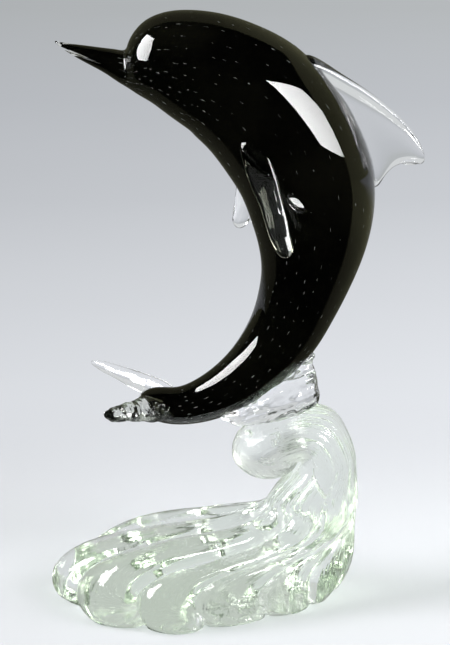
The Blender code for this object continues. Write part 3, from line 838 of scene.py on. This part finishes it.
pad = {
    # body section, distance of the centre under the body, half thickness, half width
    "sections": (
        (19.95, 0.0002, 0.0012, 0.0016),
        (20.20, 0.0020, 0.0040, 0.0050),
        (20.45, 0.0070, 0.0110, 0.0095),
        (20.80, 0.0090, 0.0150, 0.0125),
        (21.30, 0.0070, 0.0135, 0.0135),
        (21.80, 0.0050, 0.0110, 0.0125),
        (22.30, 0.0025, 0.0070, 0.0100),
        (22.80, 0.0004, 0.0020, 0.0040),
    ),
    "sides": 20,
    "coarseWander": (0.0022, 75.0),
    "fineWander": (0.0004, 210.0),
    "folds": 0.0018,
    "foldGrain": (45.0, 30.0, 260.0),
    "foldSlant": 0.4,
}


def makePad():
    rings = []
    for position, under, half, wide in sampled(pad["sections"], 3):
        rings.append((overBack(position, under + half), overBack(position, under - half), wide))
    piece = drawnLoft("joiningPad", pad["sides"], rings)
    wander(piece, *pad["coarseWander"])
    grainX, grainY, grainZ = pad["foldGrain"]
    for vertex in piece.data.vertices:
        place = vertex.co - seat
        level = place.z - place.x * pad["foldSlant"]
        fold = noise.noise(Vector((place.x * grainX, place.y * grainY, level * grainZ)))
        vertex.co.y += fold * pad["folds"]
    wander(piece, *pad["fineWander"])
    wear(piece, finGlass, node="joining_pad")


makePad()
print("pad: done")


# Wave: twelve ribs that climb from the toes, run up the column and curl over.
# No transform makes a skin that ribs flow through, so its rings are worked out and skinned

wave = {
    # toe x, toe y, height of the toe's widest line, groove depth, fullness behind it, lag of the rib's sweep
    "toes": (
        (-0.1580, 0.0020, 0.0120, 0.0110, 0.70, 0.00),
        (-0.1310, -0.0500, 0.0120, 0.0130, 1.05, 0.05),
        (-0.0860, -0.0665, 0.0120, 0.0130, 0.80, 0.65),
        (-0.0470, -0.0520, 0.0110, 0.0100, 0.52, 1.15),
        (-0.0130, -0.0370, 0.0150, 0.0070, 0.40, 1.05),
        (0.0120, -0.0210, 0.0250, 0.0035, 0.36, 0.75),
        (0.0255, 0.0010, 0.0350, 0.0025, 0.34, 0.40),
        (0.0140, 0.0240, 0.0250, 0.0035, 0.36, 0.10),
        (-0.0100, 0.0400, 0.0160, 0.0045, 0.46, 0.00),
        (-0.0430, 0.0500, 0.0120, 0.0060, 0.62, 0.00),
        (-0.0840, 0.0560, 0.0120, 0.0070, 0.80, 0.00),
        (-0.1280, 0.0460, 0.0120, 0.0085, 0.80, 0.00),
    ),
    "neck": (0.0270, 0.0260, 0.0640),
    "lean": 0.0050,
    "crease": (-0.0090, 0.0864),
    "creaseRadius": 0.0005,
    # angle about the crease, reach, half width
    "curl": (
        (0.0, 0.0350, 0.0252),
        (28.0, 0.0346, 0.0250),
        (57.0, 0.0370, 0.0248),
        (84.0, 0.0345, 0.0244),
        (110.0, 0.0318, 0.0236),
        (135.0, 0.0350, 0.0226),
        (156.0, 0.0405, 0.0212),
        (176.0, 0.0395, 0.0190),
        (192.0, 0.0324, 0.0166),
        (206.0, 0.0236, 0.0136),
        (220.0, 0.0145, 0.0096),
        (236.0, 0.0075, 0.0054),
    ),
    "ball": (-0.0018, 0.0, -0.0326),  # the curl's end, from the seat
    "frosted": (0.0022, -0.0040, -0.0400),
    # hollows in it: place from its middle, half length, half thickness, half height, bend, turn
    "hollows": (
        (0.0000, -0.0085, -0.0058, 0.0046, 0.0030, 0.0008, 70.0, 0.0),
        (0.0010, -0.0085, -0.0032, 0.0036, 0.0028, 0.0007, 80.0, 12.0),
        (-0.0095, -0.0040, 0.0080, 0.0034, 0.0018, 0.0014, 0.0, -35.0),
        (0.0055, -0.0050, 0.0035, 0.0018, 0.0016, 0.0015, 0.0, 0.0),
        (0.0080, -0.0040, 0.0060, 0.0013, 0.0012, 0.0012, 0.0, 0.0),
        (0.0308, -0.0170, -0.0195, 0.0125, 0.0022, 0.0009, 9.0, -71.0),
    ),
    "toeInset": 0.60,
    "climbEnd": 0.42,
    "frontClimb": 0.33,
    # under the foot: its middle, the hollow's depth and ripple, and how far in from the rim it is full
    "underCenter": -0.058,
    "underSteps": 20,
    "hollowDepth": 0.0016,
    "ripple": 0.0007,
    "rippleGrain": (130.0, 80.0),
    "hollowRim": 0.4,
    # grooves between the ribs
    "grooveHold": 0.62,  # under 1, they stay deep further up
    "neckGroove": 0.0028,
    "curlGroove": 0.0016,
    "endGroove": 0.0001,
    "calm": 0.65,  # how much of them is lost on the column's outer side
    "farGroove": 0.35,  # of the near side's depth, on the column and the curl
    "softFrom": 0.35,  # share of the way up from which they soften
    # the surface: its wander from the foot up, and marks drawn along the ribs
    "unevenness": 0.0006,
    "coarseGrain": 28.0,
    "fineGrain": 90.0,
    "fineShare": 0.8,
    "fineHeight": 0.05,
    "stillHeight": 0.004,
    "calmHeight": 0.08,
    "drawMarks": 0.0009,
    "markGrain": (0.24, 0.04),
    "markLevels": 8,
    "ribSides": 14,
    "toeSteps": 8,
    "climbSteps": 36,
    "throatSteps": 10,
    "curlSteps": 6,
    "shadow": (0.76, 0.79, 0.76),
    "frostReach": 0.0150,
    "frostLevel": -0.004,  # from the ball's middle
    "drawn": (5.0, 0.5, 2.4),
}


def toeRow(turn):
    count = len(wave["toes"])
    start = math.floor(turn)
    rows = [wave["toes"][(start + step) % count] for step in (-1, 0, 1, 2)]
    return [throughPoints(*column, turn - start) for column in zip(*rows)]


def bearing(turn):
    return math.pi + (turn + toeRow(turn)[5]) / len(wave["toes"]) * 2 * math.pi


def neckPoint(turn):
    long, wide, height = wave["neck"]
    return Vector((long * math.cos(bearing(turn)), wide * math.sin(bearing(turn)), height))


def toePoint(turn, quarter):
    x, y, height, _, _, _ = toeRow(turn)
    inward = Vector((-x, -y, 0.0)).normalized()
    angle = quarter * math.pi / 2
    low = Vector((x, y, height * (1 - math.cos(angle))))
    return low + inward * height * wave["toeInset"] * (1 - math.sin(angle))


def bezier(start, first, second, end, share):
    rest = 1 - share
    return (start * rest ** 3 + first * 3 * share * rest ** 2
            + second * 3 * share ** 2 * rest + end * share ** 3)


def leanAt(turn):
    return wave["lean"] * max(-math.cos(bearing(turn)), 0.0) ** 2


def climbPoint(turn, share):
    low, high = toePoint(turn, 1.0), neckPoint(turn)
    rise = high.z - low.z
    first = low + Vector((0.0, 0.0, rise * toeRow(turn)[4]))
    front = max(-math.sin(bearing(turn)), 0.0)
    second = high - Vector((leanAt(turn), 0.0, rise * (wave["climbEnd"] + wave["frontClimb"] * front)))
    return bezier(low, first, second, high, share)


def curlPoint(turn, row):
    angle, reach, wide = row
    out = Vector((math.cos(math.radians(angle)), 0.0, math.sin(math.radians(angle))))
    middle = (reach + wave["creaseRadius"]) / 2
    half = (reach - wave["creaseRadius"]) / 2
    creaseX, creaseZ = wave["crease"]
    place = Vector((creaseX, 0.0, creaseZ)) + out * (middle + half * math.cos(bearing(turn)))
    return place + Vector((0.0, wide * math.sin(bearing(turn)), 0.0))


def throatPoint(turn, share):
    low, high = neckPoint(turn), curlPoint(turn, wave["curl"][0])
    third = (high.z - low.z) / 3
    tilt = Vector((leanAt(turn), 0.0, third))
    return bezier(low, low + tilt, high - Vector((leanAt(turn), 0.0, third)), high, share)


def fluted(rings, depths):
    sides = wave["ribSides"]
    around, upward = wave["markGrain"]
    result = []
    for level, ring in enumerate(rings):
        below, above = rings[max(level - 1, 0)], rings[min(level + 1, len(rings) - 1)]
        soft = max(level / len(rings) - wave["softFrom"], 0.0) / (1.0 - wave["softFrom"])
        marks = wave["drawMarks"] * min(level / wave["markLevels"], 1.0)
        moved = []
        for index, place in enumerate(ring):
            normal = (ring[(index + 1) % len(ring)] - ring[index - 1]).cross(above[index] - below[index])
            if level == 0:
                normal.z = 0.0
            normal.normalize()
            across = 2 * (index % sides) / sides - 1
            lobe = math.sqrt(1 - across ** 2) * (1 - soft) + (0.5 + 0.5 * math.cos(across * math.pi)) * soft
            mark = noise.noise(Vector((index * around, level * upward, 0.0))) ** 2 * marks
            moved.append(place - normal * (depths[level][index] * (1 - lobe) + mark))
        result.append(moved)
    return result


def waveRings():
    sides = wave["ribSides"]
    neckGroove, curlGroove, endGroove = wave["neckGroove"], wave["curlGroove"], wave["endGroove"]
    turns = [index / sides - 0.5 for index in range(sides * len(wave["toes"]))]
    toeDepths = [toeRow(turn)[3] for turn in turns]
    far = [max(math.sin(bearing(turn)), 0.0) ** 0.5 for turn in turns]
    right = [max(math.cos(bearing(turn)), 0.0) for turn in turns]
    near = [(1.0 - (1.0 - wave["farGroove"]) * share) * (1.0 - wave["calm"] * calm)
            for share, calm in zip(far, right)]
    rings, depths = [], []
    for step in range(wave["toeSteps"]):
        rings.append([toePoint(turn, step / wave["toeSteps"]) for turn in turns])
        depths.append(toeDepths)
    for step in range(wave["climbSteps"]):
        share = step / wave["climbSteps"]
        left = (1 - share) ** wave["grooveHold"]
        rings.append([climbPoint(turn, share) for turn in turns])
        depths.append([neckGroove * side + (deep - neckGroove * side) * left
                       for deep, side in zip(toeDepths, near)])
    for step in range(wave["throatSteps"]):
        share = step / wave["throatSteps"]
        rings.append([throatPoint(turn, share) for turn in turns])
        depths.append([(neckGroove + (curlGroove - neckGroove) * share) * side for side in near])
    curl = sampled(wave["curl"], wave["curlSteps"])
    for step, row in enumerate(curl):
        share = min(step / (len(curl) - 1) * 1.5, 1.0)
        rings.append([curlPoint(turn, row) for turn in turns])
        depths.append([(curlGroove + (endGroove - curlGroove) * share) * side for side in near])
    return fluted(rings, depths)


def uneven(place):
    # hand-worked glass: the surface wanders a little, except where it stands on the table
    hold = min(place.z / wave["stillHeight"], 1.0) * wave["unevenness"]
    fine = max(1.0 - place.z / wave["fineHeight"], 0.0) * hold * wave["fineShare"]
    hold *= 1.0 - 0.5 * min(place.z / wave["calmHeight"], 1.0)
    coarse = noise.noise_vector(place * wave["coarseGrain"]) * hold
    return place + coarse + noise.noise_vector(place * wave["fineGrain"]) * fine


def within(place):
    # the dressed wave stays in its solid's box
    return Vector([min(max(value, low), high) for value, low, high in zip(place, waveLow, waveHigh)])


def underside(place, share):
    # the foot stands on its rim; under it the glass is a shallow, rippled hollow
    spot = Vector((wave["underCenter"], 0.0, 0.0)) * (1 - share) + place * share
    alongX, alongY = wave["rippleGrain"]
    ripple = noise.noise(Vector((spot.x * alongX, spot.y * alongY, 0.4))) * wave["ripple"]
    spot.z = max((wave["hollowDepth"] + ripple) * eased((1 - share) / wave["hollowRim"]), 0.0)
    return spot


def skin(mesh, rings):
    flow = mesh.loops.layers.uv.new("flow")
    count = len(rings[0])
    for level, (low, high) in enumerate(zip(rings, rings[1:])):
        for index in range(count):
            after = (index + 1) % count
            face = mesh.faces.new((low[index], low[after], high[after], high[index]))
            for loop, (across, up) in zip(face.loops, ((0, 0), (1, 0), (1, 1), (0, 1))):
                loop[flow].uv = ((index + across) / wave["ribSides"], (level + up) / 10)
    mesh.faces.new(rings[0][::-1])
    mesh.faces.new(rings[-1])
    bmesh.ops.recalc_face_normals(mesh, faces=mesh.faces[:])


def makeWave():
    mesh = bmesh.new()
    shape = waveRings()
    steps = wave["underSteps"]
    under = [[underside(place, (index + 1) / (steps + 1)) for place in shape[0]] for index in range(steps)]
    skin(mesh, [[mesh.verts.new(within(axis + uneven(place))) for place in ring] for ring in under + shape])
    ball = seat + Vector(wave["ball"])
    for x, y, z, long, thick, high, bend, turn in wave["hollows"]:
        hollow = bmesh.ops.create_icosphere(mesh, subdivisions=3, radius=1.0)["verts"]
        for vertex in hollow:
            local = Vector((vertex.co.x * long, vertex.co.y * thick, vertex.co.z * high))
            local.z += bend * local.x ** 2
            local.rotate(Quaternion((0.0, 1.0, 0.0), math.radians(-turn)))
            vertex.co = ball + Vector((x, y, z)) + local
        bmesh.ops.reverse_faces(mesh, faces=list({face for vertex in hollow for face in vertex.link_faces}))
    data = bpy.data.meshes.new("waveBase")
    mesh.to_mesh(data)
    mesh.free()
    piece = bpy.data.objects.new("waveBase", data)
    bpy.context.scene.collection.objects.link(piece)
    only(piece)
    bpy.ops.object.shade_smooth_by_angle(angle=math.radians(60.0))
    frost = (seat + Vector(wave["frosted"]), wave["frostReach"], ball.z + wave["frostLevel"])
    finish = glassFinish("waveGlass", shadow=wave["shadow"], frost=frost, drawn=wave["drawn"])
    wear(piece, finish, node="wave_base")


makeWave()


# Colours as they are

bpy.context.scene.view_settings.view_transform = "Standard"
bpy.context.scene.cycles.glossy_bounces = 12  # light goes round inside the glass many times
bpy.context.view_layer.update()
